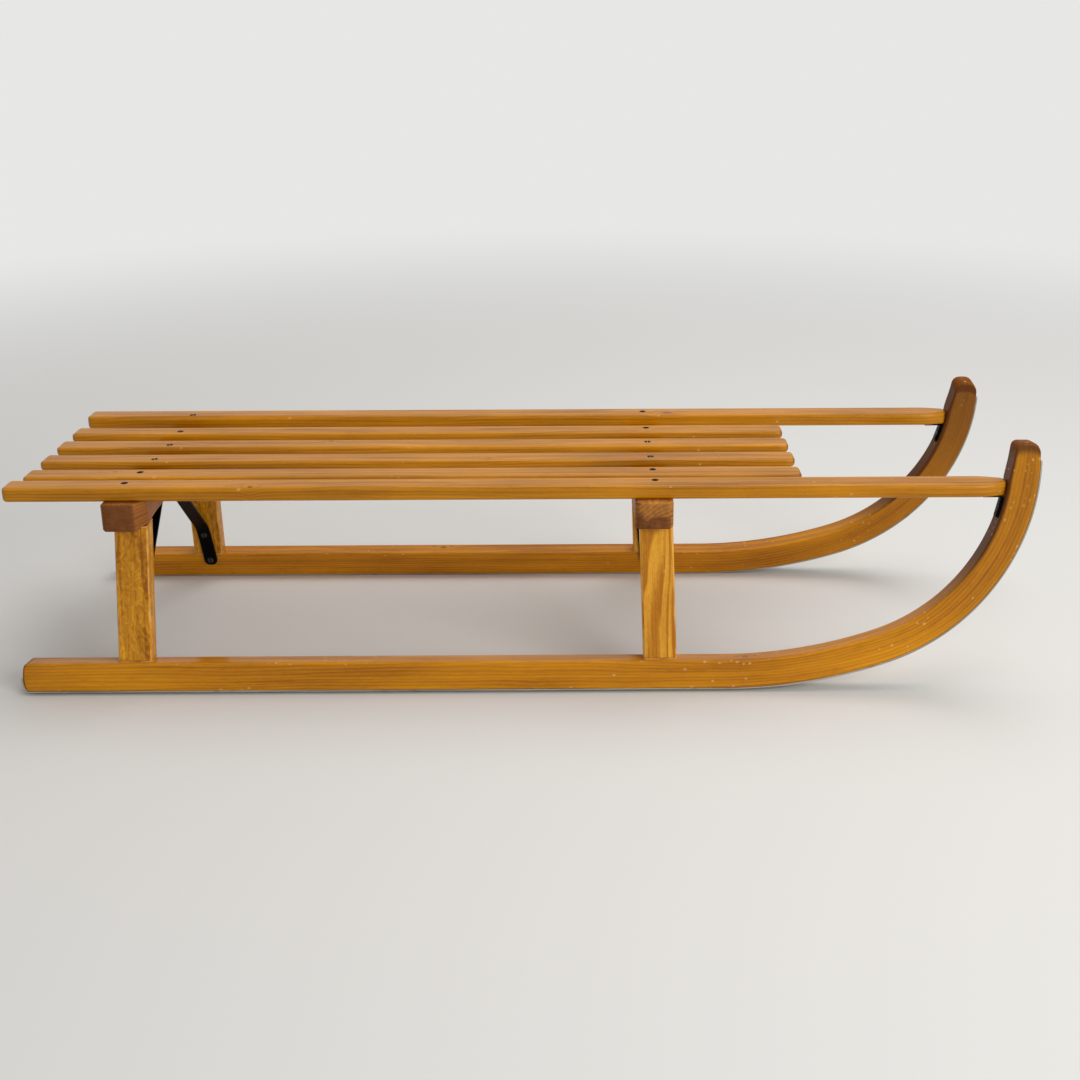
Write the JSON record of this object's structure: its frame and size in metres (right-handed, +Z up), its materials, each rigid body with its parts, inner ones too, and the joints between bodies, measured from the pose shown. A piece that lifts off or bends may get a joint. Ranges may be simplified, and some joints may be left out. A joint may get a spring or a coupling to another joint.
{
  "type": "slatted wooden sled with bent runners",
  "caption": "Low wooden sled: slatted seat on splayed trestles, iron stays, bent runners with steel shoes that rise into horns.",
  "frame": {"origin": "on the floor, under the middle of the sled", "axes": "+X forward to the horns, +Y to the left, +Z up"},
  "size_m": [1.103, 0.3388, 0.2712],
  "materials": {
    "slat_wood": "satin varnish, worn",
    "runner_wood": "satin varnish, worn",
    "leg_wood": "satin varnish",
    "beam_wood": "worn varnish",
    "shoe_steel": "dull, worn",
    "stay_iron": "black, matt"
  },
  "bodies": {
    "root": {"runner_right": "runner_wood", "runner_left": "runner_wood", "runner_shoe_right": "shoe_steel", "runner_shoe_left": "shoe_steel", "rear_leg_right": "leg_wood", "rear_leg_left": "leg_wood", "front_leg_right": "leg_wood", "front_leg_left": "leg_wood", "side_slat_right": "slat_wood", "side_slat_left": "slat_wood", "rear_beam": "beam_wood", "front_beam": "beam_wood", "rear_stay": "stay_iron", "front_stay": "stay_iron", "middle_slat_1": "slat_wood", "middle_slat_2": "slat_wood", "middle_slat_3": "slat_wood", "middle_slat_4": "slat_wood"}
  },
  "joints": []
}
